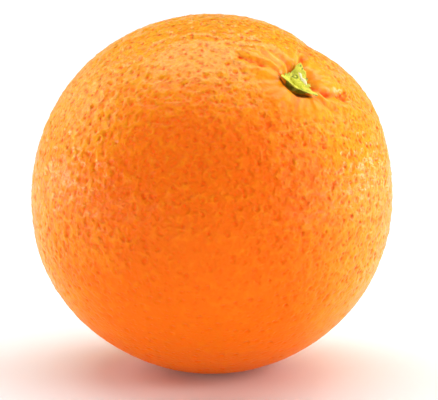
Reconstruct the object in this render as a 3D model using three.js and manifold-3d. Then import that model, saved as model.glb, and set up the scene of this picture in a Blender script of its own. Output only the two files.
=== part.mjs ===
// A whole orange at rest, in millimetres, +Z up, with the origin in the middle of the small flat spot it stands on.
// The stem end looks up to the front right: the calyx, a leathery star left on the picked fruit, sits in a shallow
// cavity there, with the stub of the snapped stalk in its middle. Creases run out of the cavity over the shoulders,
// pits cover the skin, and the scar of the fallen flower is on the far side.

import * as THREE from "three";
import { ConvexHull } from "three/addons/math/ConvexHull.js";
import { mergeVertices } from "three/addons/utils/BufferGeometryUtils.js";
import Module from "manifold-3d";

// Driving dimensions. Angles are in degrees. A place near the stem is given by its distance from the stem's axis
// along the skin, in millimetres, and its azimuth round that axis, from the downhill side towards the right.
const FRUIT_RADIUS = 38;
const SEAT_DEPTH = 0.45;
const STEM_TILT = 42.8;
const STEM_HEADING = -46.4;

const CAVITY = { depth: 2.1, floorRadius: 1.7, rimRadius: 5.2, softDepth: 0.35, softRadius: 13 };
const BLOSSOM = { flatDepth: 0.7, flatRadius: 10, scarDepth: 0.55, scarRadius: 1.7 };

// Low swells and flats of the whole fruit: the angle from the stem, the azimuth, the spread and the height.
const SWELLS = [
  { angle: 43, azimuth: 87, spread: 15, height: 0.75 },
  { angle: 38, azimuth: 125, spread: 9, height: -0.8 },
  { angle: 137, azimuth: 264, spread: 26, height: 0.7 },
  { angle: 92, azimuth: 190, spread: 24, height: 0.4 },
  { angle: 75, azimuth: 20, spread: 22, height: 0.3 },
];

// Creases, each a line on the skin near the stem: x runs downhill from the stem's axis and y to the right.
const CREASES = [
  { from: [-2.4, -2.7], to: [-5.8, -6.3], width: 0.8, depth: 0.4 },
  { from: [-5.8, -6.3], to: [-9.6, -8.6], width: 1.1, depth: 0.65 },
  { from: [2.2, 2.6], to: [4.2, 5.2], width: 1.1, depth: 0.6 },
  { from: [4.2, 5.2], to: [5.0, 10.4], width: 1.3, depth: 0.7 },
  { from: [5.2, 11.0], to: [5.6, 17.5], width: 1.4, depth: 0.25 },
  { from: [4.8, 1.6], to: [8.8, 4.8], width: 0.95, depth: 0.4 },
  { from: [-3.4, 3.0], to: [-6.0, 6.2], width: 0.95, depth: 0.6 },
  { from: [-6.0, 6.2], to: [-12.5, 16.5], width: 2.4, depth: 0.3 },
  { from: [-3.2, 0.6], to: [-9.5, -0.9], width: 0.85, depth: 0.4 },
  { from: [-3.4, -1.4], to: [-8.4, -3.6], width: 0.7, depth: 0.22 },
  { from: [3.2, -2.4], to: [6.8, -7.4], width: 1.2, depth: 0.25 },
];
// Bulges of the skin round the calyx: the middle on the skin, the spread and the height.
const BULGES = [
  { middle: [-4.6, -6.9], spread: 2.4, height: 0.45 },
  { middle: [3.6, -6.6], spread: 3.0, height: 0.45 },
  { middle: [0.9, 7.4], spread: 3.2, height: 0.55 },
  { middle: [1.8, 13.6], spread: 2.8, height: 0.4 },
  { middle: [7.6, 0.6], spread: 2.6, height: 0.3 },
];
// A crease's raised lips as shares of its depth and width, and the fine wrinkles that fan out of the cavity.
const CREASE_LIP = { height: 0.3, offset: 1.9 };
const WRINKLES = { count: 23, height: 0.06, twist: 0.5, innerRadius: 4.5, outerRadius: 12 };

// The pits: their spacing over the skin, and closer together where the stem cavity and the scar need the detail.
const PITS = { spacing: 3.5, depth: 0.42, shallowest: 0.45, steepest: 0.21, disorder: 0.8, seed: 41 };
const FINE_SPACING = 1.85;
const STEM_ZONE = { innerRadius: 12, outerRadius: 17 };
const BLOSSOM_ZONE = { innerRadius: 4, outerRadius: 8 };
const PIT_FREE_ZONE = { innerRadius: 7.5, outerRadius: 15 };
const SEAT_ZONE = { innerRadius: 5, outerRadius: 9 };
const RELAX_ROUNDS = 5;
const SPIRAL_STEP = 0.02;

// The calyx's outline as azimuth and distance: long points, blunt ones and the notches between them.
const CALYX_OUTLINE = [
  [9, 5.3], [18, 4.1], [48, 3.0], [72, 2.7], [105, 3.2], [125, 3.8], [142, 4.6], [160, 3.2],
  [194, 2.5], [238, 3.4], [262, 5.1], [276, 4.0], [299, 3.9], [315, 3.7], [332, 2.6], [350, 3.9],
];
const CALYX = {
  gap: 0.4,
  middleThickness: 1.5,
  edgeThickness: 0.62,
  sectors: 72,
  rings: [0.3, 0.6, 0.85, 1],
};
const CALYX_LIFT = { azimuth: 305, spread: 55, height: 0.35 };
// The stub stands in a round socket with sloping walls. Its edge is scalloped, and a ring stands up round its pith.
const STUB = {
  radius: 1.4,
  height: 0.75,
  scallops: 5,
  scallopDepth: 0.14,
  sectors: 28,
  rings: [0.25, 0.5, 0.72, 0.9, 1],
};
const STUB_RING = { at: 0.72, rise: 0.28, sharpness: 4 };
const SOCKET = { depth: 0.4, clearance: 0.32, slope: 0.12 };

const GOLDEN_ANGLE = Math.PI * (3 - Math.sqrt(5));
const rad = THREE.MathUtils.degToRad;
const smooth = THREE.MathUtils.smoothstep;
const bell = (x) => Math.exp(-x * x);

// The stem's own axes: outwards along the stem, downhill and to the right.
const centre = new THREE.Vector3(0, 0, FRUIT_RADIUS - SEAT_DEPTH);
const stemAxis = new THREE.Vector3();
const downhill = new THREE.Vector3();
const rightward = new THREE.Vector3();
new THREE.Matrix4()
  .makeRotationZ(rad(STEM_HEADING))
  .multiply(new THREE.Matrix4().makeRotationY(rad(STEM_TILT)))
  .extractBasis(downhill, rightward, stemAxis);

// The direction at a distance along the skin from the stem's axis, at an azimuth in radians.
function directionAt(distance, azimuth) {
  const angle = distance / FRUIT_RADIUS;
  return stemAxis.clone().multiplyScalar(Math.cos(angle))
    .addScaledVector(downhill, Math.sin(angle) * Math.cos(azimuth))
    .addScaledVector(rightward, Math.sin(angle) * Math.sin(azimuth));
}

// The place of a direction near the stem: distance along the skin, azimuth, and the same as x and y.
function placeOf(direction) {
  const distance = FRUIT_RADIUS * stemAxis.angleTo(direction);
  const azimuth = Math.atan2(rightward.dot(direction), downhill.dot(direction));
  return { distance, azimuth, x: distance * Math.cos(azimuth), y: distance * Math.sin(azimuth) };
}

const swells = SWELLS.map(({ angle, azimuth, spread, height }) => ({
  direction: directionAt(rad(angle) * FRUIT_RADIUS, rad(azimuth)),
  spread: rad(spread),
  height,
}));

const distanceToLine = (x, y, [x0, y0], [x1, y1]) => {
  const [dx, dy] = [x1 - x0, y1 - y0];
  const along = THREE.MathUtils.clamp(((x - x0) * dx + (y - y0) * dy) / (dx * dx + dy * dy), 0, 1);
  return Math.hypot(x - x0 - along * dx, y - y0 - along * dy);
};

const creaseHeight = ({ x, y }) =>
  CREASES.reduce((sum, { from, to, width, depth }) => {
    const off = distanceToLine(x, y, from, to) / width;
    return sum + depth * (CREASE_LIP.height * bell(off - CREASE_LIP.offset) - bell(off));
  }, 0);

const bulgeHeight = ({ x, y }) =>
  BULGES.reduce((sum, { middle, spread, height }) =>
    sum + height * bell(Math.hypot(x - middle[0], y - middle[1]) / spread), 0);

function wrinkleHeight({ distance, azimuth }) {
  const { count, height, twist, innerRadius, outerRadius } = WRINKLES;
  const middle = (innerRadius + outerRadius) / 2;
  const window = bell((2 * (distance - middle)) / (outerRadius - innerRadius));
  return height * window * Math.cos(count * azimuth + twist * distance);
}

// The fruit's radius without creases and pits: swells, bulges, the stem's cavity, and the flat and scar of the
// blossom end.
function bareRadius(direction) {
  const place = placeOf(direction);
  const { distance } = place;
  const fromBlossom = Math.PI * FRUIT_RADIUS - distance;
  const swollen = swells.reduce(
    (sum, swell) => sum + swell.height * bell(swell.direction.angleTo(direction) / swell.spread), 0);
  const cavity = CAVITY.depth * (1 - smooth(distance, CAVITY.floorRadius, CAVITY.rimRadius))
    + CAVITY.softDepth * bell(distance / CAVITY.softRadius);
  const blossom = BLOSSOM.flatDepth * bell(fromBlossom / BLOSSOM.flatRadius)
    + BLOSSOM.scarDepth * bell((fromBlossom / BLOSSOM.scarRadius) ** 2);
  return FRUIT_RADIUS + swollen + bulgeHeight(place) - cavity - blossom;
}

function skinRadius(direction) {
  const place = placeOf(direction);
  return bareRadius(direction) + creaseHeight(place) + wrinkleHeight(place);
}

const pointAt = (direction, radius) => centre.clone().addScaledVector(direction, radius);

// A repeatable random number between 0 and 1 for each call.
function randomFrom(seed) {
  let state = seed;
  return () => {
    state = (Math.imul(state, 1664525) + 1013904223) >>> 0;
    return state / 2 ** 32;
  };
}

// The spacing of the pits at a distance from the stem's axis.
function spacingAt(distance) {
  const fromBlossom = Math.PI * FRUIT_RADIUS - distance;
  const open = Math.min(
    smooth(distance, STEM_ZONE.innerRadius, STEM_ZONE.outerRadius),
    smooth(fromBlossom, BLOSSOM_ZONE.innerRadius, BLOSSOM_ZONE.outerRadius));
  return FINE_SPACING + (PITS.spacing - FINE_SPACING) * open;
}

// Directions of the pits: a spiral round the stem's axis, each turn as dense as the spacing asks, a little disturbed.
function scatterPits(random) {
  const pits = [];
  let due = 0;
  for (let distance = SPIRAL_STEP / 2; distance < Math.PI * FRUIT_RADIUS; distance += SPIRAL_STEP) {
    const ring = 2 * Math.PI * FRUIT_RADIUS * Math.sin(distance / FRUIT_RADIUS) * SPIRAL_STEP;
    const spacing = spacingAt(distance);
    for (due += ring / (spacing * spacing * Math.sin(Math.PI / 3)); due >= 1; due -= 1) {
      const shift = new THREE.Vector3(random() - 0.5, random() - 0.5, random() - 0.5);
      const direction = directionAt(distance, pits.length * GOLDEN_ANGLE);
      pits.push(direction.addScaledVector(shift, (PITS.disorder * spacing) / FRUIT_RADIUS).normalize());
    }
  }
  return pits;
}

// The edges of the net of triangles whose corners are the pits, each once in either direction.
function netOf(pits) {
  const numberOf = new Map(pits.map((pit, i) => [pit, i]));
  const faces = new ConvexHull().setFromPoints(pits).faces;
  const faceNumber = new Map(faces.map((face, i) => [face, i]));
  const edges = faces.flatMap((face) => [0, 1, 2].map((i) => face.getEdge(i)));
  return {
    corners: faces.map((face) => [0, 1, 2].map((i) => numberOf.get(face.getEdge(i).head().point))),
    links: edges.map((edge) => ({
      from: numberOf.get(edge.tail().point),
      to: numberOf.get(edge.head().point),
      left: faceNumber.get(edge.face),
      right: faceNumber.get(edge.twin.face),
    })),
  };
}

// Moves each pit halfway to the middle of its neighbours, so that none crowd.
function relax(pits) {
  const sums = pits.map(() => new THREE.Vector3());
  netOf(pits).links.forEach(({ from, to }) => sums[from].add(pits[to]));
  return pits.map((pit, i) => sums[i].normalize().add(pit).normalize());
}

// The share of its depth that a pit keeps: none close to the stem or on the flat spot.
function pitShare(direction) {
  const fromSeat = FRUIT_RADIUS * direction.angleTo(new THREE.Vector3(0, 0, -1));
  return smooth(placeOf(direction).distance, PIT_FREE_ZONE.innerRadius, PIT_FREE_ZONE.outerRadius)
    * smooth(fromSeat, SEAT_ZONE.innerRadius, SEAT_ZONE.outerRadius);
}

// The skin: each pit is a low point, and the net's triangles have their middles on the ridges between the pits.
function skinGeometry() {
  const random = randomFrom(PITS.seed);
  let pits = scatterPits(random);
  for (let round = 0; round < RELAX_ROUNDS; round += 1) pits = relax(pits);
  const { corners, links } = netOf(pits);
  const ridges = corners.map((corner) =>
    corner.reduce((sum, i) => sum.add(pits[i]), new THREE.Vector3()).normalize());
  const narrowest = pits.map(() => FRUIT_RADIUS);
  links.forEach(({ from, left }) => {
    narrowest[from] = Math.min(narrowest[from], FRUIT_RADIUS * pits[from].distanceTo(ridges[left]));
  });
  const pitPoints = pits.map((direction, i) => {
    const wanted = PITS.depth * (PITS.shallowest + (1 - PITS.shallowest) * random());
    const depth = Math.min(wanted, PITS.steepest * narrowest[i]) * pitShare(direction);
    return pointAt(direction, skinRadius(direction) - depth);
  });
  const ridgePoints = ridges.map((direction) => pointAt(direction, skinRadius(direction)));
  const triangles = links.flatMap(({ from, left, right }) => [from, pits.length + right, pits.length + left]);
  return geometryOf([...pitPoints, ...ridgePoints], triangles);
}

function geometryOf(points, triangles) {
  return new THREE.BufferGeometry().setFromPoints(points).setIndex(triangles);
}

// A closed body on a polar grid round the stem's axis. The rings, from the middle outwards, are distances for an
// azimuth, and the two surfaces are radii of the fruit for a distance and an azimuth.
function polarBody({ ringsAt, sectors, top, bottom }) {
  const azimuths = Array.from({ length: sectors }, (_, i) => (2 * Math.PI * i) / sectors);
  const ringCount = ringsAt(0).length;
  const points = [];
  for (const surface of [top, bottom]) {
    points.push(pointAt(stemAxis, surface(0, 0)));
    for (let ring = 0; ring < ringCount; ring += 1)
      for (const azimuth of azimuths) {
        const distance = ringsAt(azimuth)[ring];
        points.push(pointAt(directionAt(distance, azimuth), surface(distance, azimuth)));
      }
  }
  const lower = 1 + ringCount * sectors;
  const at = (ring, sector) => 1 + ring * sectors + (sector % sectors);
  const triangles = [];
  const quad = (a, b, c, d) => triangles.push(a, b, c, a, c, d);
  for (let i = 0; i < sectors; i += 1) {
    triangles.push(0, at(0, i), at(0, i + 1));
    triangles.push(lower, lower + at(0, i + 1), lower + at(0, i));
    for (let ring = 0; ring < ringCount - 1; ring += 1) {
      quad(at(ring, i), at(ring + 1, i), at(ring + 1, i + 1), at(ring, i + 1));
      quad(lower + at(ring, i + 1), lower + at(ring + 1, i + 1), lower + at(ring + 1, i), lower + at(ring, i));
    }
    const rim = ringCount - 1;
    quad(at(rim, i), lower + at(rim, i), lower + at(rim, i + 1), at(rim, i + 1));
  }
  return geometryOf(points, triangles);
}

// The calyx's reach at an azimuth: straight lines between the corners of its outline.
function calyxReach(azimuth) {
  const turn = 2 * Math.PI;
  const asked = ((azimuth % turn) + turn) % turn;
  const corners = CALYX_OUTLINE.map(([degrees, reach]) => ({ at: rad(degrees), reach }));
  const next = corners.findIndex((corner) => corner.at > asked);
  const after = corners[next < 0 ? 0 : next];
  const before = corners.at(next < 0 ? -1 : next - 1);
  const span = (after.at - before.at + turn) % turn;
  const along = (asked - before.at + turn) % turn;
  const inverse = Math.sin(span - along) / before.reach + Math.sin(along) / after.reach;
  return Math.sin(span) / inverse;
}

// The calyx's underside follows the cavity, a little off it, and the edge on the downhill left lifts clear.
function underside(distance, azimuth) {
  const off = azimuth - rad(CALYX_LIFT.azimuth);
  const turn = Math.atan2(Math.sin(off), Math.cos(off));
  const share = Math.min(distance / calyxReach(azimuth), 1);
  const lift = CALYX_LIFT.height * bell(turn / rad(CALYX_LIFT.spread)) * share * share;
  return bareRadius(directionAt(distance, azimuth)) + CALYX.gap + lift;
}

function calyxTop(distance, azimuth) {
  const share = Math.min(distance / calyxReach(azimuth), 1);
  return underside(distance, azimuth) + THREE.MathUtils.lerp(CALYX.middleThickness, CALYX.edgeThickness, share);
}

const socketRadius = STUB.radius + SOCKET.clearance;
const socketFloor = calyxTop(0, 0) - SOCKET.depth;

function calyxGeometry() {
  const mouth = socketRadius + SOCKET.slope;
  return polarBody({
    sectors: CALYX.sectors,
    ringsAt: (azimuth) => [
      socketRadius / 2, socketRadius, mouth,
      ...CALYX.rings.map((share) => THREE.MathUtils.lerp(mouth, calyxReach(azimuth), share)),
    ],
    top: (distance, azimuth) => (distance <= socketRadius ? socketFloor : calyxTop(distance, azimuth)),
    bottom: underside,
  });
}

// The stub of the stalk: a short plug with a raised ring of wood round its pith.
function stubGeometry() {
  const base = socketFloor + SOCKET.clearance;
  const reach = (azimuth) => STUB.radius * (1 - STUB.scallopDepth * Math.cos((STUB.scallops * azimuth) / 2) ** 2);
  const { at, rise, sharpness } = STUB_RING;
  return polarBody({
    sectors: STUB.sectors,
    ringsAt: (azimuth) => STUB.rings.map((share) => share * reach(azimuth)),
    top: (distance) => base + STUB.height * (1 - rise + rise * bell((distance / STUB.radius - at) * sharpness)),
    bottom: () => base,
  });
}

const wasm = await Module();
wasm.setup();

const solidOf = (geometry) => {
  const { attributes, index } = mergeVertices(geometry.deleteAttribute("normal").deleteAttribute("uv"));
  return new wasm.Manifold(new wasm.Mesh({
    numProp: 3,
    vertProperties: attributes.position.array,
    triVerts: new Uint32Array(index.array),
  }));
};

function geometryFrom(solid) {
  const { vertProperties, triVerts } = solid.getMesh();
  return new THREE.BufferGeometry()
    .setAttribute("position", new THREE.BufferAttribute(vertProperties, 3))
    .setIndex(new THREE.BufferAttribute(triVerts, 1));
}

// The fruit stands on a flat spot, cut where its underside would reach below the ground.
function fruitGeometry() {
  const side = 2 * FRUIT_RADIUS;
  const below = new THREE.BoxGeometry(side, side, side).translate(0, 0, -side / 2);
  return geometryFrom(solidOf(skinGeometry()).subtract(solidOf(below)));
}

function piece(name, geometry, colour, roughness) {
  geometry.computeVertexNormals();
  const mesh = new THREE.Mesh(geometry, new THREE.MeshStandardMaterial({ color: colour, roughness, metalness: 0 }));
  mesh.name = name;
  return mesh;
}

const orange = new THREE.Group();
orange.add(
  piece("fruit", fruitGeometry(), 0xf4780c, 0.42),
  piece("calyx", calyxGeometry(), 0xb7bd2c, 0.65),
  piece("stem_stub", stubGeometry(), 0xd8b48c, 0.85),
);

export default orange;
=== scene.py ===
"""A whole orange standing on a white studio floor.

The rind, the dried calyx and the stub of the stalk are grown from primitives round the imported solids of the
same fruit. Lengths in the shapes' formulas are in millimetres, and the meshes are in metres.
"""

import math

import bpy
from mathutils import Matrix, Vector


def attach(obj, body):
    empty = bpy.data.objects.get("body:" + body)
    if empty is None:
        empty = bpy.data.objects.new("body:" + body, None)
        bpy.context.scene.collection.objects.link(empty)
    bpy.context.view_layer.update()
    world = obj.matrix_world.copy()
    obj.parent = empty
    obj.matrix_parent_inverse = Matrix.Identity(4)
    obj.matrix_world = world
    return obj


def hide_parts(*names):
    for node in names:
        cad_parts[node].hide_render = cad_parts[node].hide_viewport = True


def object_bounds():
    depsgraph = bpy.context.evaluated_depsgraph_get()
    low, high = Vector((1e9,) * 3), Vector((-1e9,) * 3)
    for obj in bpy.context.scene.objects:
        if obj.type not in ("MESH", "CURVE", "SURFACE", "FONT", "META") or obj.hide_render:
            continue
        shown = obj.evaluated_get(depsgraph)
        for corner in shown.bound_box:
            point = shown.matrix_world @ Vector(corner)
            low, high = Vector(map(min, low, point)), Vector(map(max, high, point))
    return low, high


bl_info = {
    "name": "Whole Orange",
    "version": (1, 0, 0),
    "blender": (4, 5, 0),
    "location": "View3D > Sidebar > Orange",
    "description": "Grows a pitted orange with its dried calyx and stalk stub, and sets up a studio for it",
    "category": "Add Mesh",
}

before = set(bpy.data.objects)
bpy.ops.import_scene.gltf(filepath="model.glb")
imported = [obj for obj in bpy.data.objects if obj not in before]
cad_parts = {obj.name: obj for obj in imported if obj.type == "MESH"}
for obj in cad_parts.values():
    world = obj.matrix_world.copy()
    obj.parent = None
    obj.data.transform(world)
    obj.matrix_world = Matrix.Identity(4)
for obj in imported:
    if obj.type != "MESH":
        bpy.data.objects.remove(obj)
cad_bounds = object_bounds()

MM = 0.001
X_AXIS = (1, 0, 0)
Y_AXIS = (0, 1, 0)
Z_AXIS = (0, 0, 1)

# The fruit's place. The stem's axis leans from the vertical, towards the front right.
FRUIT_RADIUS = 38
SEAT_DEPTH = 0.45
STEM_TILT = 42.8
STEM_HEADING = -46.4
CENTRE = Vector((0, 0, (FRUIT_RADIUS - SEAT_DEPTH) * MM))
stem_heading = Matrix.Rotation(math.radians(STEM_HEADING), 3, "Z")
stem_turn = stem_heading @ Matrix.Rotation(math.radians(STEM_TILT), 3, "Y")
DOWNHILL, RIGHTWARD, STEM_AXIS = stem_turn.col

# Low swells and flats: the angle from the stem, the azimuth round it, the spread in degrees and the height.
SWELLS = (
    (43, 87, 15, 0.75),
    (38, 125, 9, -0.8),
    (137, 264, 26, 0.7),
    (92, 190, 24, 0.4),
    (75, 20, 22, 0.3),
)

# The stem's cavity: its depth and the radii of its floor and rim. The wide dish round it, and the
# flattening and scar of the blossom end: depth and radius.
CAVITY = (2.1, 1.7, 5.2)
CAVITY_DISH = (0.35, 13)
BLOSSOM_DISH = (0.7, 10)
BLOSSOM_SCAR = (0.55, 1.7)

# Creases, each a line on the skin near the stem: x runs downhill from the stem's axis and y to the right.
# The last two numbers are the half width and the depth.
CREASES = (
    ((-2.4, -2.7), (-5.8, -6.3), 0.8, 0.4),
    ((-5.8, -6.3), (-9.6, -8.6), 1.1, 0.65),
    ((2.2, 2.6), (4.2, 5.2), 1.1, 0.6),
    ((4.2, 5.2), (5.0, 10.4), 1.3, 0.7),
    ((5.2, 11.0), (5.6, 17.5), 1.4, 0.25),
    ((4.8, 1.6), (8.8, 4.8), 0.95, 0.4),
    ((-3.4, 3.0), (-6.0, 6.2), 0.95, 0.6),
    ((-6.0, 6.2), (-12.5, 16.5), 2.4, 0.3),
    ((-3.2, 0.6), (-9.5, -0.9), 0.85, 0.4),
    ((-3.4, -1.4), (-8.4, -3.6), 0.7, 0.22),
    ((3.2, -2.4), (6.8, -7.4), 1.2, 0.25),
)
# A crease's raised lips: their height as a share of its depth, and their distance as a share of its half
# width.
CREASE_LIP = (0.3, 1.9)

# Fine wrinkles that fan out of the cavity: how many there are, how much they turn on each millimetre
# outwards, how far they waver, and the distance from the stem's axis at which they are highest and the
# width of their ring.
WRINKLE_COUNT = 23
WRINKLE_TWIST = 0.35
WRINKLE_WAVER = 6
WRINKLE_RING = (8, 4)

# Distances from the stem's axis at which the pits and ripples begin, and are full in the mesh and in the
# bump.
RELIEF_BEGINS = 6
RELIEF_FULL = 13
BUMP_FULL = 14

# A pit's raised lip: its height as a share of the pit's depth, its distance as a share of the pit's reach,
# and how narrow it is.
PIT_LIP = (0.35, 1.3, 3)
# A cell of the pattern holds a pit where the cell's middle is near the skin: the nearness, as shares of the
# spacing, at which the pit starts and is full.
PIT_NEARNESS = (0.62, 0.4)
# The small pits of the rind's bump: spacing and reach.
SMALL_PITS = (1.5, 0.42)
# Lengths of the pebbly ripples, in the mesh and in the finer bump.
RIPPLE_WAVE = 2.0
PEBBLE_WAVE = 1.6

# The rind is rougher upwards and a little backwards: the way, and the heights along it at which the
# roughness starts and is full, as shares of the radius.
ROUGH_WAY = (0, 0.2, 0.98)
ROUGH_BAND = (-0.7, 0.12)
# The redder, darker colour of the front and underside is painted shade, and the yellower colour of the
# flanks, top and back is painted light; the soft patches in it are the rind's own colour. It fades out from
# the front
# to the flanks, the top and the back: how far its middle is shifted to the left, how fast it fades upwards,
# and the reach at which it starts to fade and is gone, as shares of the radius.
FLUSH_AND_SHADE_SHIFT = 0.06
FLUSH_AND_SHADE_UPWARD = (0, 0.27, 1.3)
FLUSH_AND_SHADE_BAND = (0.36, 1.1)

# Bulges of the skin round the calyx: the middle, the spread and the height.
BULGES = (
    ((-4.6, -6.9), 2.4, 0.45),
    ((3.6, -6.6), 3.0, 0.45),
    ((0.9, 7.4), 3.2, 0.55),
    ((1.8, 13.6), 2.8, 0.4),
    ((7.6, 0.6), 2.6, 0.3),
)

# A painted shadow: a brown put in the gap beneath the calyx's near edge, where there is only shade. The way
# to it from the stem's axis, downhill and to the right, the distances that way at which it starts and is
# full, and the distances from the axis at which it ends and is still full.
GAP_SHADOW_WAY = (0.57, -0.82)
GAP_SHADOW_START = (1.6, 2.6)
GAP_SHADOW_END = (5.1, 4.4)

# The calyx's outline: azimuth and reach of its points and notches.
CALYX_OUTLINE = (
    (9, 5.3), (18, 4.1), (48, 3.0), (72, 2.7), (105, 3.2), (125, 3.8), (142, 4.6), (160, 3.2),
    (194, 2.5), (238, 3.4), (262, 5.1), (276, 4.0), (299, 3.9), (315, 3.7), (332, 2.6), (350, 3.9),
)
# The height of the calyx's middle over the cavity, how far its near edge lifts, and the edge's azimuth and
# spread.
CALYX_HEIGHT = 1.75
CALYX_LIFT = 0.9
CALYX_NEAR_EDGE = (305, 55)
# The calyx's thickness at its thin edge, and how much thicker it is in the middle.
CALYX_EDGE = 0.22
CALYX_BODY = 1.78
# The name under which every point of the calyx keeps its share of the way from the middle to the edge.
EDGE_SHARE = "edge"

# The stub: the distance of its base from the fruit's middle, how deep it is sunk below that, how high its
# crown and the torn roughness on it are, and the small ring on its top, with the ring's middle and then the
# radius and half width of its groove and of its colour.
STUB_BASE = FRUIT_RADIUS - CAVITY[0] - CAVITY_DISH[0] + 1.65
STUB_SUNK = 1.1
CROWN_HEIGHT = 0.35
TORN_HEIGHT = 0.7
RING_MIDDLE = (-1.0, -0.4)
RING_GROOVE = (0.5, 0.2)
RING_GROOVE_DEPTH = 0.18
RING_COLOUR = (0.52, 0.24)

# How far the discs for the calyx and the stub are inset, as a share of their radius.
INSET_SHARE = 0.98

# The fruit's middle stands a little up and to the left of the picture's middle, by these millimetres.
AIM_RIGHT = 1.41
AIM_DOWN = 1.26
SENSOR_WIDTH = 36
CLIP_START = 0.05
FLOOR_PALE = (0.93, 0.93, 0.93, 1)
FLOOR_WHITE = (0.95, 0.95, 0.95, 1)


class FruitSizes(bpy.types.PropertyGroup):
    """Sizes of the rind's relief."""

    pit_spacing: bpy.props.FloatProperty(
        name="Pit spacing",
        description="Edge of the cells that each hold one large pit",
        default=2.5 * MM,
        unit="LENGTH",
        precision=5,
    )
    pit_reach: bpy.props.FloatProperty(
        name="Pit reach",
        description="Radius of a large pit's wide dimple",
        default=1 * MM,
        unit="LENGTH",
        precision=5,
    )
    pit_depth: bpy.props.FloatProperty(
        name="Pit depth",
        description="Depth of a large pit's wide dimple",
        default=0.2 * MM,
        unit="LENGTH",
        precision=5,
    )
    ripple_height: bpy.props.FloatProperty(
        name="Ripple height",
        description="Height of the pebbly ripples between the pits",
        default=0.6 * MM,
        unit="LENGTH",
        precision=5,
    )


class FruitColours(bpy.types.PropertyGroup):
    """Colours of the rind, the calyx and the stub."""

    # The rind's colours are mixed by where they lie: the yellower skin on the flanks, top and back is painted
    # light, and the redder colour on the front and underside is painted shade.
    skin: bpy.props.FloatVectorProperty(
        name="Skin", description="Colour of the rind's flanks, top and back", subtype="COLOR", size=4,
        default=(0.93, 0.345, 0.005, 1), min=0, max=1,
    )
    flush: bpy.props.FloatVectorProperty(
        name="Flush", description="Redder colour of the rind's front and underside", subtype="COLOR", size=4,
        default=(0.83, 0.148, 0.002, 1), min=0, max=1,
    )
    # Painted shade, and partly the rind's own colour: the pits take this darker colour partly as their
    # glands' own colour and partly as painted shade, and the creases, the hollow round the stem and the
    # ripples' valleys take it as painted shade.
    deep_skin_and_shade: bpy.props.FloatVectorProperty(
        name="Deep skin", description="Colour in the pits and creases", subtype="COLOR", size=4,
        default=(0.9, 0.12, 0.0015, 1), min=0, max=1,
    )
    # Painted shadow: the brown put in the gap beneath the calyx's near edge, where there is only shade.
    cavity: bpy.props.FloatVectorProperty(
        name="Cavity", description="Brown of the cavity beneath the calyx", subtype="COLOR", size=4,
        default=(0.16, 0.022, 0.002, 1), min=0, max=1,
    )
    calyx: bpy.props.FloatVectorProperty(
        name="Calyx", description="Main colour of the dried calyx", subtype="COLOR", size=4,
        default=(0.46, 0.46, 0.018, 1), min=0, max=1,
    )
    calyx_light: bpy.props.FloatVectorProperty(
        name="Calyx light", description="Colour of the calyx's high parts", subtype="COLOR", size=4,
        default=(0.76, 0.72, 0.07, 1), min=0, max=1,
    )
    calyx_dark: bpy.props.FloatVectorProperty(
        name="Calyx dark", description="Olive colour of the calyx's edges and hollows",
        subtype="COLOR", size=4, default=(0.13, 0.17, 0.012, 1), min=0, max=1,
    )
    fibre: bpy.props.FloatVectorProperty(
        name="Torn fibre", description="Colour of the torn fibres on the stub", subtype="COLOR", size=4,
        default=(0.97, 0.84, 0.74, 1), min=0, max=1,
    )


class StudioSettings(bpy.types.PropertyGroup):
    """Camera, floor and lights."""

    distance: bpy.props.FloatProperty(
        name="Camera distance", description="From the camera to the fruit's middle",
        default=0.6, unit="LENGTH",
    )
    elevation: bpy.props.FloatProperty(
        name="Camera elevation", description="Angle of the camera above the horizon",
        default=math.radians(12), subtype="ANGLE",
    )
    lens: bpy.props.FloatProperty(
        name="Lens", description="Focal length on a 36 mm wide sensor, in millimetres", default=234.4,
    )
    floor_size: bpy.props.FloatProperty(
        name="Floor size", description="Edge of the square floor", default=8, unit="LENGTH",
    )
    room_light: bpy.props.FloatProperty(
        name="Room light", description="Strength of the light from all round", default=0.08,
    )


class Socket:
    """One output of a node tree. Arithmetic on it adds Math nodes, and node() adds any other node."""

    def __init__(self, tree, output):
        self.tree = tree
        self.output = output

    def node(self, kind, settings=None, values=None, output=0):
        return add_node(self.tree, kind, settings, values, output)

    def math(self, operation, *others):
        return add_math(self.tree, operation, self, *others)

    def vector(self, operation, *others, output=0):
        values = dict(enumerate((self, *others)))
        return self.node("ShaderNodeVectorMath", {"operation": operation}, values, output)

    def __add__(self, other):
        return self.math("ADD", other)

    def __radd__(self, other):
        return self.math("ADD", other)

    def __sub__(self, other):
        return self.math("SUBTRACT", other)

    def __rsub__(self, other):
        return add_math(self.tree, "SUBTRACT", other, self)

    def __mul__(self, other):
        return self.math("MULTIPLY", other)

    def __rmul__(self, other):
        return self.math("MULTIPLY", other)

    def __truediv__(self, other):
        return self.math("DIVIDE", other)

    def __neg__(self):
        return self.math("MULTIPLY", -1)

    def times(self, amount):
        """A vector times a number."""
        return scaled(self, amount)

    def beside(self, name):
        """Another output of the same node."""
        return Socket(self.tree, self.output.node.outputs[name])

    def dot(self, vector):
        return self.vector("DOT_PRODUCT", vector, output=1)

    def length(self):
        return self.vector("LENGTH", output=1)

    def smooth(self, low, high):
        """0 at low and 1 at high, with a soft start and end. The two may be in either order."""
        settings = {"interpolation_type": "SMOOTHSTEP"}
        return self.node("ShaderNodeMapRange", settings, {"Value": self, "From Min": low, "From Max": high})

    def bell(self):
        """1 at 0, and falling softly towards 0 on both sides."""
        return (-(self * self)).math("EXPONENT")

    def clamped(self):
        return self.math("MAXIMUM", 0).math("MINIMUM", 1)


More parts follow.
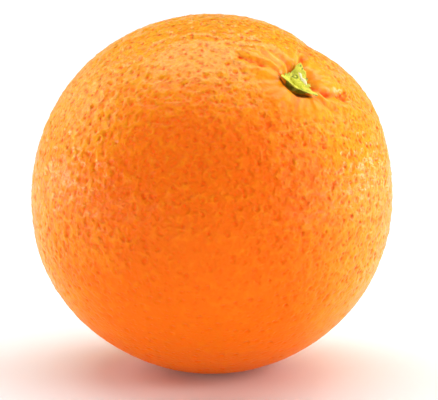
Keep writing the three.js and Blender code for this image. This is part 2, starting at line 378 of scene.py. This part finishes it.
def add_node(tree, kind, settings=None, values=None, output=0):
    """Adds a node, sets it, then gives its sockets values or links, and returns one of its outputs."""
    node = tree.nodes.new(kind)
    for name, setting in (settings or {}).items():
        if name == "curve":
            set_curve(node.mapping, setting)
        else:
            setattr(node, name, setting)
    for key, value in (values or {}).items():
        if isinstance(value, Socket):
            tree.links.new(value.output, node.inputs[key])
        else:
            node.inputs[key].default_value = value
    return Socket(tree, node.outputs[output])


def add_math(tree, operation, *values):
    return add_node(tree, "ShaderNodeMath", {"operation": operation}, dict(enumerate(values)))


def scaled(vector, amount):
    """A vector times a number, of which one at least is a socket."""
    tree = (vector if isinstance(vector, Socket) else amount).tree
    return add_node(tree, "ShaderNodeVectorMath", {"operation": "SCALE"}, {0: vector, "Scale": amount})


def weighted_sum(weights):
    """The sum of fixed vectors, each times a number."""
    total = None
    for vector, weight in weights:
        part = scaled(vector, weight)
        total = part if total is None else total.vector("ADD", part)
    return total


def set_curve(mapping, points):
    """Gives a curve node straight stretches between points, each between 0 and 1 both ways."""
    curve = mapping.curves[0]
    curve.points[0].location = points[0]
    curve.points[1].location = points[-1]
    for point in points[1:-1]:
        curve.points.new(*point)
    for point in curve.points:
        point.handle_type = "VECTOR"
    mapping.update()


def mix(factor, first, second):
    """A colour between first, at factor 0, and second, at 1."""
    factor_socket, first_socket, second_socket, result = 0, 6, 7, 2
    values = {factor_socket: factor, first_socket: first, second_socket: second}
    return factor.node("ShaderNodeMix", {"data_type": "RGBA"}, values, result)


def noise(spot, scale, detail=2, roughness=0.5):
    """Soft noise about 0, mostly within 0.25 either way, at so many waves for each unit of the spot."""
    values = {"Vector": spot, "Scale": scale, "Detail": detail, "Roughness": roughness}
    return spot.node("ShaderNodeTexNoise", None, values) - 0.5


def pits(spot, spacing, reach, roughness):
    """Round pits of one size, 1 in the deepest and just under 0 on their lips.

    Every cell of a pattern in space holds one at most. Smooth skin has fewer and flatter pits.
    """
    cells = spot.node("ShaderNodeTexVoronoi", None, {"Vector": spot, "Scale": 1 / spacing})
    middle = cells.beside("Position")
    sunk = ((middle.length() - FRUIT_RADIUS) / spacing).math("ABSOLUTE")
    on_skin = middle.vector("NORMALIZE").times(FRUIT_RADIUS)
    off = spot.vector("DISTANCE", on_skin, output=1) / reach
    chance = cells.beside("Color").dot(X_AXIS)
    there = (chance * 0.9 + 0.8 * roughness - 0.05).clamped() * sunk.smooth(*PIT_NEARNESS)
    lip_height, lip_place, lip_sharpness = PIT_LIP
    lip = lip_height * ((off - lip_place) * lip_sharpness).bell()
    return (off.smooth(1, 0.15) - lip) * there


class Place:
    """Where a point of the fruit lies, from its direction from the fruit's middle.

    Its x and y are measured along the skin from the stem's axis, downhill and to the right.
    """

    def __init__(self, direction):
        self.direction = direction
        self.spot = direction.times(FRUIT_RADIUS)
        angle = direction.dot(STEM_AXIS).math("ARCCOSINE")
        spread = FRUIT_RADIUS * angle / angle.math("SINE").math("MAXIMUM", 0.0001)
        self.distance = FRUIT_RADIUS * angle
        self.x = direction.dot(DOWNHILL) * spread
        self.y = direction.dot(RIGHTWARD) * spread
        self.from_blossom = math.pi * FRUIT_RADIUS - self.distance

    def off(self, middle):
        """The distance from a place given by its x and y."""
        x = self.x - middle[0]
        y = self.y - middle[1]
        return (x * x + y * y).math("SQRT")

    def off_line(self, start, end):
        """The distance from a line between two such places."""
        run = (end[0] - start[0], end[1] - start[1])
        along = (self.x - start[0]) * run[0] + (self.y - start[1]) * run[1]
        along = (along / (run[0] ** 2 + run[1] ** 2)).clamped()
        x = self.x - start[0] - along * run[0]
        y = self.y - start[1] - along * run[1]
        return (x * x + y * y).math("SQRT")


def place_of(point):
    """The place of a point given in metres."""
    return Place(point.vector("SUBTRACT", CENTRE).vector("NORMALIZE"))


def stem_direction(angle, azimuth):
    """The direction at an angle from the stem's axis and an azimuth round it, both in degrees."""
    angle, azimuth = math.radians(angle), math.radians(azimuth)
    across = DOWNHILL * math.cos(azimuth) + RIGHTWARD * math.sin(azimuth)
    return STEM_AXIS * math.cos(angle) + across * math.sin(angle)


def bare_radius(place):
    """The fruit's radius with its swells, bulges, cavity and blossom end, and none of the finer relief."""
    radius = FRUIT_RADIUS
    for angle, azimuth, spread, height in SWELLS:
        off = place.direction.dot(stem_direction(angle, azimuth)).math("MINIMUM", 1).math("ARCCOSINE")
        radius = radius + height * (off / math.radians(spread)).bell()
    for middle, spread, height in BULGES:
        radius = radius + height * (place.off(middle) / spread).bell()
    depth, inner, outer = CAVITY
    radius = radius - depth * place.distance.smooth(outer, inner)
    radius = radius - CAVITY_DISH[0] * (place.distance / CAVITY_DISH[1]).bell()
    radius = radius - BLOSSOM_DISH[0] * (place.from_blossom / BLOSSOM_DISH[1]).bell()
    scar = place.from_blossom / BLOSSOM_SCAR[1]
    return radius - BLOSSOM_SCAR[0] * (scar * scar).bell()


def crease_depth(place, widening=1):
    """How deep the creases are, negative on their raised lips."""
    total = 0
    for start, end, width, depth in CREASES:
        off = place.off_line(start, end) / (width * widening)
        total = total + depth * (off.bell() - CREASE_LIP[0] * (off - CREASE_LIP[1]).bell())
    return total


def radial_wrinkles(place):
    """Fine wrinkles that fan out of the cavity, between 0 and 1."""
    azimuth = place.y.math("ARCTAN2", place.x)
    waver = WRINKLE_WAVER * noise(place.spot, 0.25, 1)
    turn = azimuth * WRINKLE_COUNT + place.distance * WRINKLE_TWIST + waver
    middle, width = WRINKLE_RING
    return (turn.math("SINE") * 0.5 + 0.5) * ((place.distance - middle) / width).bell()


def shaping(piece, name, build):
    """Shapes a piece with a modifier of geometry nodes, which build() lays out, and applies it."""
    tree = bpy.data.node_groups.new(name, "GeometryNodeTree")
    for in_out in ("INPUT", "OUTPUT"):
        tree.interface.new_socket("Geometry", in_out=in_out, socket_type="NodeSocketGeometry")
    start = add_node(tree, "NodeGroupInput")
    position = add_node(tree, "GeometryNodeInputPosition")
    end = tree.nodes.new("NodeGroupOutput")
    tree.links.new(build(start, position).output, end.inputs[0])
    modifier = piece.modifiers.new(name, "NODES")
    modifier.node_group = tree
    bpy.context.view_layer.objects.active = piece
    bpy.ops.object.modifier_apply(modifier=name)


def keep(geometry, name, value):
    """Keeps a number on every point of a piece, for its material."""
    settings = {"data_type": "FLOAT", "domain": "POINT"}
    values = {"Geometry": geometry, "Name": name, "Value": value}
    return geometry.node("GeometryNodeStoreNamedAttribute", settings, values)


def moved(geometry, target):
    """A piece with its points moved to new places, in metres."""
    return geometry.node("GeometryNodeSetPosition", None, {"Geometry": geometry, "Position": target})


def point_at(direction, radius):
    """The point, in metres, at a radius in millimetres from the fruit's middle."""
    return scaled(direction, radius * MM).vector("ADD", CENTRE)


def add_disc(sectors, rings):
    """Adds a closed disc of radius 1, whose top is at height 0 and whose underside is at -1."""
    bpy.ops.mesh.primitive_circle_add(vertices=sectors, radius=1, fill_type="NGON")
    disc = bpy.context.object
    bpy.ops.object.mode_set(mode="EDIT")
    bpy.ops.mesh.select_all(action="SELECT")
    for _ in range(rings):
        bpy.ops.mesh.inset(thickness=INSET_SHARE / rings, depth=0)
    bpy.ops.mesh.poke()
    bpy.ops.mesh.select_all(action="SELECT")
    bpy.ops.mesh.extrude_region_move(TRANSFORM_OT_translate={"value": (0, 0, -1)})
    bpy.ops.mesh.select_all(action="SELECT")
    bpy.ops.mesh.normals_make_consistent(inside=False)
    bpy.ops.object.mode_set(mode="OBJECT")
    return disc


def soften(piece, levels):
    """Rounds a piece with a subdivision modifier and applies it."""
    modifier = piece.modifiers.new("soften", "SUBSURF")
    modifier.levels = levels
    modifier.render_levels = levels
    bpy.context.view_layer.objects.active = piece
    bpy.ops.object.modifier_apply(modifier="soften")


def finish_piece(piece, name, node, material):
    """Names a piece, gives it its material and puts it on the frame in place of its solid."""
    piece.name = name
    piece.data.name = name
    piece.data.materials.clear()
    piece.data.materials.append(material)
    bpy.ops.object.shade_smooth()
    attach(piece, "root")
    if node:
        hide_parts(node)


def new_material(name, build, **constants):
    """A material whose principled shader has constant sockets, and the links that build() returns."""
    material = bpy.data.materials.new(name)
    material.use_nodes = True
    tree = material.node_tree
    shader = tree.nodes["Principled BSDF"]
    for key, value in constants.items():
        shader.inputs[key.replace("_", " ")].default_value = value
    point = add_node(tree, "ShaderNodeTexCoord", output="Object")
    for key, socket in build(point).items():
        tree.links.new(socket.output, shader.inputs[key])
    return material


def bump(height):
    """A normal from a height in millimetres."""
    return height.node("ShaderNodeBump", None, {"Strength": 1, "Distance": MM, "Height": height})


def rind_roughness(place):
    """How rough the rind is: 1 over its upper half and near 0 low down, in soft patches."""
    across = place.direction.dot(X_AXIS)
    height = place.direction.dot(ROUGH_WAY) + 0.45 * across * across
    return (height + 0.5 * noise(place.spot, 0.07, 2)).smooth(*ROUGH_BAND)


def ripples(place, wave):
    """Pebbly ripples of about one wave's length, mostly within 0.25 either way."""
    return noise(place.spot, 1 / wave, 1.5, 0.55)


def rind_tone_and_light(place):
    """0 on the duller front and underside, painted redder and darker as shade, and 1 on the waxier flanks,
    top and back, painted yellower as light; the soft patches are the rind's own colour.
    """
    across = place.direction.dot(X_AXIS) + FLUSH_AND_SHADE_SHIFT
    upward = place.direction.dot(FLUSH_AND_SHADE_UPWARD).math("MAXIMUM", 0)
    away = place.direction.dot(Y_AXIS).math("MAXIMUM", 0)
    reach = (across * across + upward * upward).math("SQRT") + away
    return (reach + 0.35 * noise(place.spot, 0.06, 2)).smooth(*FLUSH_AND_SHADE_BAND)


def rind_material():
    """Orange skin, waxy on its pebbles. Its pits are darker, partly in their glands' own colour and partly as
    painted shade, and its creases, the hollow round the stem and the ripples' valleys have painted shade.
    """
    colours = bpy.context.scene.orange_colours
    sizes = bpy.context.scene.orange_sizes

    def build(point):
        place = place_of(point)
        spot = place.spot
        # Painted light and shade: yellower towards the flanks and top, redder and darker towards the front
        # and underside.
        tone_and_light = rind_tone_and_light(place)
        rough = rind_roughness(place)
        open_skin = place.distance.smooth(RELIEF_BEGINS, BUMP_FULL)
        large = pits(spot, sizes.pit_spacing / MM, 0.6 * sizes.pit_reach / MM, rough) * open_skin
        small = pits(spot, *SMALL_PITS, rough) * open_skin
        pebbles = ripples(place, PEBBLE_WAVE) * (0.2 + 0.8 * rough) * (0.15 + 0.85 * open_skin)
        crease = crease_depth(place, 0.7)
        mottle = noise(spot, 0.3, 3)
        grain = noise(spot, 2.2, 2)
        # Painted light: the ripples' tops are mixed towards the yellower skin.
        colour = mix((tone_and_light + 0.3 * mottle + 1.3 * pebbles).clamped(), colours.flush, colours.skin)
        # Painted shade: darker round the stem, in the creases and in the ripples' valleys, and in the pits
        # partly as painted shade and partly as their glands' own colour.
        cup_shade = place.distance.smooth(7.5, 4)
        deep_and_shade = (large * 0.8 + small * 0.65 + crease * 1.3 + cup_shade * 0.2 - 1.2 * pebbles).clamped()
        colour = mix(deep_and_shade, colour, colours.deep_skin_and_shade)
        # Painted shadow: brown beneath the calyx's near edge.
        gap_shadow = (place.x * GAP_SHADOW_WAY[0] + place.y * GAP_SHADOW_WAY[1]).smooth(*GAP_SHADOW_START)
        colour = mix(gap_shadow * place.distance.smooth(*GAP_SHADOW_END), colour, colours.cavity)
        height = (1.3 + 0.6 * tone_and_light) * pebbles - 0.16 * large - 0.12 * small - 0.2 * crease
        height = height + 0.15 * radial_wrinkles(place) + 0.03 * grain
        wax = ((0.05 + 0.45 * tone_and_light) * (1 + 1.5 * pebbles - 0.6 * large - 0.4 * small - crease)).clamped()
        return {"Base Color": colour, "Coat Weight": wax, "Normal": bump(height)}

    return new_material(
        "orange_rind", build, Roughness=0.5, Subsurface_Weight=0.55, Subsurface_Scale=1.2 * MM,
        Specular_IOR_Level=0.06, Coat_Roughness=0.2,
    )


def calyx_material():
    """Dry yellow-green, blotched, with olive edges and spots."""
    colours = bpy.context.scene.orange_colours

    def build(point):
        place = place_of(point)
        spot = place.spot
        edge = point.node("ShaderNodeAttribute", {"attribute_name": EDGE_SHARE}, output="Fac")
        blotch = noise(spot, 0.9, 3)
        grain = noise(spot, 4, 3)
        light = (0.55 + blotch * 3 + grain * 1.6).clamped()
        colour = mix(light, colours.calyx, colours.calyx_light)
        spots = pits(spot, 1.7, 0.32, 0.6)
        dark = (edge.smooth(0.82, 1.05) * (0.35 + 3 * noise(spot, 0.5, 1)) + 0.8 * spots).clamped()
        colour = mix(dark, colour, colours.calyx_dark)
        height = 0.12 * blotch + 0.06 * grain
        return {"Base Color": colour, "Roughness": 0.6 + 0.2 * grain, "Normal": bump(height)}

    return new_material(
        "dry_calyx", build, Subsurface_Weight=0.1, Subsurface_Scale=0.6 * MM, Specular_IOR_Level=0.35,
    )


def stub_material():
    """The calyx's green with a small olive ring."""
    colours = bpy.context.scene.orange_colours

    def build(point):
        place = place_of(point)
        radius, width = RING_COLOUR
        ring = ((place.off(RING_MIDDLE) - radius) / width).bell()
        grain = noise(place.spot, 3.5, 3)
        colour = mix((0.5 + grain * 2).clamped(), colours.calyx, colours.calyx_light)
        colour = mix(ring * 0.85, colour, colours.calyx_dark)
        return {"Base Color": colour, "Roughness": 0.75 + 0.2 * grain, "Normal": bump(0.1 * grain)}

    return new_material("stub_wood", build, Specular_IOR_Level=0.3)


def fibre_material():
    """Pale torn wood."""
    colours = bpy.context.scene.orange_colours

    def build(point):
        grain = noise(place_of(point).spot, 5, 2)
        colour = mix((0.35 + grain).clamped(), colours.fibre, colours.calyx_light)
        return {"Base Color": colour, "Roughness": 0.8 + 0.2 * grain}

    return new_material("torn_fibre", build, Subsurface_Weight=0.2, Subsurface_Scale=0.3 * MM)


def floor_material():
    """Nearly white, with a faint cloud."""

    def build(point):
        cloud = noise(point, 3, 2)
        return {"Base Color": mix(0.5 + cloud, FLOOR_PALE, FLOOR_WHITE), "Roughness": 0.7 + 0.1 * cloud}

    return new_material("studio_floor", build, Specular_IOR_Level=0.2)


class StageOperator(bpy.types.Operator):
    """Set up the camera, the floor and the soft lights"""

    bl_idname = "orange.set_stage"
    bl_label = "Set stage"

    # Each panel light: its name, direction from the fruit as azimuth and elevation in degrees, distance,
    # width and height in metres, and power in watts. Azimuth 0 is behind the fruit and 90 is to its right.
    LIGHTS = (
        ("overhead_panel", 0, 78, 1.0, 1.2, 0.9, 10.2),
        ("front_panel", 180, 1, 1.2, 2.0, 0.07, 1.15),
        ("front_high_panel", 180, 48, 1.2, 1.2, 0.4, 1.4),
        ("right_panel", 80, 3, 1.0, 0.8, 0.12, 2.6),
        ("right_high_panel", 62, 40, 1.0, 0.7, 0.6, 3.1),
        ("back_panel", 0, 9, 1.6, 3.0, 0.45, 3.0),
        ("right_front_panel", 125, 1.5, 1.0, 0.8, 0.08, 3.0),
        ("right_front_high_panel", 118, 26, 1.0, 0.5, 0.4, 2.8),
        ("left_panel", -80, 3, 1.0, 0.8, 0.12, 3.2),
        ("left_high_panel", -62, 30, 1.0, 0.7, 0.5, 2.6),
        ("left_front_panel", -125, 1.5, 1.0, 0.8, 0.08, 3.4),
    )

    def execute(self, context):
        studio = context.scene.orange_studio
        self.place_camera(context.scene, studio)
        self.lay_floor(studio)
        for panel in self.LIGHTS:
            self.hang_light(*panel)
        self.light_room(context.scene, studio)
        return {"FINISHED"}

    def place_camera(self, scene, studio):
        """Puts the camera in front of the fruit, a little above the horizon."""
        tilt = studio.elevation
        back = Vector((0, -math.cos(tilt), math.sin(tilt)))
        up = Vector((0, math.sin(tilt), math.cos(tilt)))
        aim = CENTRE + Vector((AIM_RIGHT * MM, 0, 0)) - up * AIM_DOWN * MM
        bpy.ops.object.camera_add(location=aim + back * studio.distance)
        camera = bpy.context.object
        camera.rotation_euler = back.to_track_quat("Z", "Y").to_euler()
        camera.data.lens = studio.lens
        camera.data.sensor_width = SENSOR_WIDTH
        camera.data.clip_start = CLIP_START
        scene.camera = camera
        scene.view_settings.view_transform = "Standard"

    def lay_floor(self, studio):
        """Lays the floor at the height that the fruit rests on."""
        bpy.ops.mesh.primitive_plane_add(size=studio.floor_size, location=(0, 0, cad_bounds[0].z))
        floor = bpy.context.object
        floor.name = "studio_floor"
        floor.data.materials.append(floor_material())
        bpy.ops.object.transform_apply(location=True, rotation=True, scale=True)

    def hang_light(self, name, azimuth, elevation, distance, width, height, power):
        """Hangs one panel light, which faces the fruit's middle."""
        azimuth = math.radians(azimuth)
        elevation = math.radians(elevation)
        level = math.cos(elevation)
        away = Vector((math.sin(azimuth) * level, math.cos(azimuth) * level, math.sin(elevation)))
        bpy.ops.object.light_add(type="AREA", location=CENTRE + away * distance)
        light = bpy.context.object
        light.name = name
        light.rotation_euler = away.to_track_quat("Z", "Y").to_euler()
        light.data.shape = "RECTANGLE"
        light.data.size = width
        light.data.size_y = height
        light.data.energy = power
        light.visible_camera = False

    def light_room(self, scene, studio):
        """Lights the scene softly from all round."""
        world = bpy.data.worlds.new("studio_room")
        world.use_nodes = True
        background = world.node_tree.nodes["Background"]
        background.inputs["Color"].default_value = (1, 1, 1, 1)
        background.inputs["Strength"].default_value = studio.room_light
        scene.world = world


class RindOperator(bpy.types.Operator):
    """Grow the rind with its swells, creases, ripples and pits"""

    bl_idname = "orange.grow_rind"
    bl_label = "Grow rind"

    # Cuts in each edge of the first 20 triangles, how far the ripples lie below the bare skin as a share of
    # their height, and the depth of the furrows between the wrinkles.
    CUTS = 98
    RIPPLE_SUNK = 0.42
    FURROW_DEPTH = 0.13

    def execute(self, context):
        sizes = context.scene.orange_sizes
        bpy.ops.mesh.primitive_ico_sphere_add(subdivisions=1, radius=FRUIT_RADIUS * MM, location=CENTRE)
        rind = context.object
        bpy.ops.object.mode_set(mode="EDIT")
        bpy.ops.mesh.select_all(action="SELECT")
        bpy.ops.mesh.subdivide(number_cuts=self.CUTS, smoothness=0)
        bpy.ops.object.mode_set(mode="OBJECT")
        bpy.ops.object.transform_apply(location=True, rotation=True, scale=True)

        def build(geometry, position):
            place = place_of(position)
            open_skin = place.distance.smooth(RELIEF_BEGINS, RELIEF_FULL)
            rough = rind_roughness(place)
            dimple = pits(place.spot, sizes.pit_spacing / MM, sizes.pit_reach / MM, rough)
            ripple = ripples(place, RIPPLE_WAVE) * (0.15 + 0.85 * rough) - self.RIPPLE_SUNK
            relief = sizes.ripple_height / MM * ripple * (0.3 + 0.7 * open_skin)
            relief = relief - sizes.pit_depth / MM * dimple * open_skin
            relief = relief - self.FURROW_DEPTH * (1 - radial_wrinkles(place)) * (1 - open_skin)
            skin = point_at(place.direction, bare_radius(place) - crease_depth(place) + relief)
            # Nothing hangs below the floor, where the flat spot is. Across, a metre each way sets no limit.
            return moved(geometry, skin.vector("MAXIMUM", (-1, -1, 0)))

        shaping(rind, "rind_shape", build)
        finish_piece(rind, "rind", "fruit", rind_material())
        return {"FINISHED"}


def calyx_surface(place, share, azimuth):
    """The radius of the calyx's upper surface, which falls from its middle and lifts at the near edge."""
    near_azimuth, spread = CALYX_NEAR_EDGE
    half_turn = (azimuth - math.radians(near_azimuth)) * 0.5
    near = (half_turn.math("SINE") * 2 / math.radians(spread)).bell()
    return bare_radius(place) + CALYX_HEIGHT - share + CALYX_LIFT * near * share * share


class CalyxOperator(bpy.types.Operator):
    """Shape the dried calyx, a leathery star with a thin ragged edge"""

    bl_idname = "orange.shape_calyx"
    bl_label = "Shape calyx"

    SECTORS = 96
    RINGS = 11
    LONGEST = 6

    def execute(self, context):
        calyx = add_disc(self.SECTORS, self.RINGS)
        # The outline as a curve over one turn, whose two ends meet.
        outline = [(azimuth / 360, reach / self.LONGEST) for azimuth, reach in CALYX_OUTLINE]
        seam = (outline[0][1] + outline[-1][1]) / 2
        outline = [(0, seam), *outline, (1, seam)]

        def build(geometry, position):
            x = position.dot(X_AXIS)
            y = position.dot(Y_AXIS)
            upper = position.dot(Z_AXIS) + 1
            share = (x * x + y * y).math("SQRT").math("MINIMUM", 1)
            azimuth = y.math("ARCTAN2", x)
            turn = (azimuth / (2 * math.pi)).math("FRACT")
            reach = turn.node("ShaderNodeFloatCurve", {"curve": outline}, {"Value": turn}) * self.LONGEST
            rag = noise(position.vector("MULTIPLY", (1, 1, 0)), 3.4, 4, 0.75)
            distance = share * (reach + share * share * rag * 3)
            angle = distance / FRUIT_RADIUS
            sine = angle.math("SINE") / share.math("MAXIMUM", 0.001)
            weights = ((DOWNHILL, x * sine), (RIGHTWARD, y * sine), (STEM_AXIS, angle.math("COSINE")))
            place = Place(weighted_sum(weights))
            ridge = noise(place.spot, 0.55, 2) * 0.7 + noise(place.spot, 1.4, 2) * 1.1 * share * share
            top = calyx_surface(place, share, azimuth) + ridge * share
            thickness = CALYX_EDGE + CALYX_BODY * share.smooth(0.75, 0.4)
            target = point_at(place.direction, top - thickness * (1 - upper))
            return moved(keep(geometry, EDGE_SHARE, share), target)

        shaping(calyx, "calyx_shape", build)
        soften(calyx, 1)
        finish_piece(calyx, "dried_calyx", "calyx", calyx_material())
        return {"FINISHED"}


class StubOperator(bpy.types.Operator):
    """Shape the torn stub of the stalk"""

    bl_idname = "orange.shape_stub"
    bl_label = "Shape stub"

    SECTORS = 64
    RINGS = 10
    REACH = 1.65

    def execute(self, context):
        stub = add_disc(self.SECTORS, self.RINGS)

        def build(geometry, position):
            x = position.dot(X_AXIS)
            y = position.dot(Y_AXIS)
            upper = position.dot(Z_AXIS) + 1
            share = (x * x + y * y).math("SQRT")
            flat_spot = position.vector("MULTIPLY", (1, 1, 0))
            rag = noise(flat_spot, 1.6, 3, 0.7)
            torn = noise(flat_spot, 2.4, 3, 0.7)
            ring_x = x * self.REACH - RING_MIDDLE[0]
            ring_y = y * self.REACH - RING_MIDDLE[1]
            ring_radius, ring_width = RING_GROOVE
            ring = (((ring_x * ring_x + ring_y * ring_y).math("SQRT") - ring_radius) / ring_width).bell()
            crown = CROWN_HEIGHT * share.smooth(1.0, 0.75) + torn * TORN_HEIGHT - RING_GROOVE_DEPTH * ring
            radius = STUB_BASE + crown * upper - STUB_SUNK * (1 - upper)
            reach = self.REACH * (1 + rag * 0.35)
            offset = weighted_sum(((DOWNHILL, x * reach), (RIGHTWARD, y * reach), (STEM_AXIS, radius)))
            return moved(geometry, offset.times(MM).vector("ADD", CENTRE))

        shaping(stub, "stub_shape", build)
        soften(stub, 1)
        finish_piece(stub, "stalk_stub", "stem_stub", stub_material())
        return {"FINISHED"}


class FibreOperator(bpy.types.Operator):
    """Lay the pale torn fibres across the stub"""

    bl_idname = "orange.lay_fibres"
    bl_label = "Lay fibres"

    # Each fibre's points: x downhill, y to the right and height over the stub's base, and then its radius.
    FIBRES = (
        (((-1.7, 1.3, 0.1), (-1.2, 1.15, 0.35), (-0.5, 0.8, 0.4), (0.1, 0.6, 0.3)), 0.27),
        (((-0.4, 0.55, 0.3), (0.3, 0.85, 0.42), (0.9, 1.0, 0.38), (1.5, 1.1, 0.1)), 0.34),
        (((0.2, 0.35, 0.3), (0.7, 0.65, 0.42), (1.2, 0.7, 0.3)), 0.2),
    )
    # The share of a fibre's radius that is left at its two ends.
    TAPER = 0.45

    def execute(self, context):
        strands = []
        for points, radius in self.FIBRES:
            bpy.ops.curve.primitive_bezier_curve_add()
            strand = context.object
            spline = strand.data.splines[0]
            spline.bezier_points.add(len(points) - 2)
            for index, (x, y, height) in enumerate(points):
                point = spline.bezier_points[index]
                point.co = CENTRE + (DOWNHILL * x + RIGHTWARD * y + STEM_AXIS * (STUB_BASE + height)) * MM
                point.handle_left_type = "AUTO"
                point.handle_right_type = "AUTO"
                point.radius = self.TAPER if index in (0, len(points) - 1) else 1
            strand.location = (0, 0, 0)
            strand.data.bevel_depth = radius * MM
            strand.data.bevel_resolution = 3
            strand.data.use_fill_caps = True
            bpy.ops.object.convert(target="MESH")
            strands.append(context.object)
        bpy.ops.object.select_all(action="DESELECT")
        for strand in strands:
            strand.select_set(True)
        context.view_layer.objects.active = strands[0]
        bpy.ops.object.join()
        finish_piece(context.object, "torn_fibres", None, fibre_material())
        return {"FINISHED"}


class OrangePanel(bpy.types.Panel):
    """The sizes, the colours and a button for each step"""

    bl_idname = "VIEW3D_PT_orange"
    bl_label = "Orange"
    bl_space_type = "VIEW_3D"
    bl_region_type = "UI"
    bl_category = "Orange"

    def draw(self, context):
        for group in SETTINGS:
            settings = getattr(context.scene, group)
            box = self.layout.box()
            for name in settings.__annotations__:
                box.prop(settings, name)
        for operator in OPERATORS:
            self.layout.operator(operator.bl_idname)


OPERATORS = (StageOperator, RindOperator, CalyxOperator, StubOperator, FibreOperator)
SETTINGS = {"orange_sizes": FruitSizes, "orange_colours": FruitColours, "orange_studio": StudioSettings}


def register():
    for each in (*SETTINGS.values(), *OPERATORS, OrangePanel):
        bpy.utils.register_class(each)
    for name, group in SETTINGS.items():
        setattr(bpy.types.Scene, name, bpy.props.PointerProperty(type=group))


def unregister():
    for name in SETTINGS:
        delattr(bpy.types.Scene, name)
    for each in reversed((*SETTINGS.values(), *OPERATORS, OrangePanel)):
        bpy.utils.unregister_class(each)


def main():
    register()
    bpy.ops.object.select_all(action="DESELECT")
    bpy.ops.orange.set_stage()
    bpy.ops.orange.grow_rind()
    bpy.ops.orange.shape_calyx()
    bpy.ops.orange.shape_stub()
    bpy.ops.orange.lay_fibres()


if __name__ == "__main__":
    main()
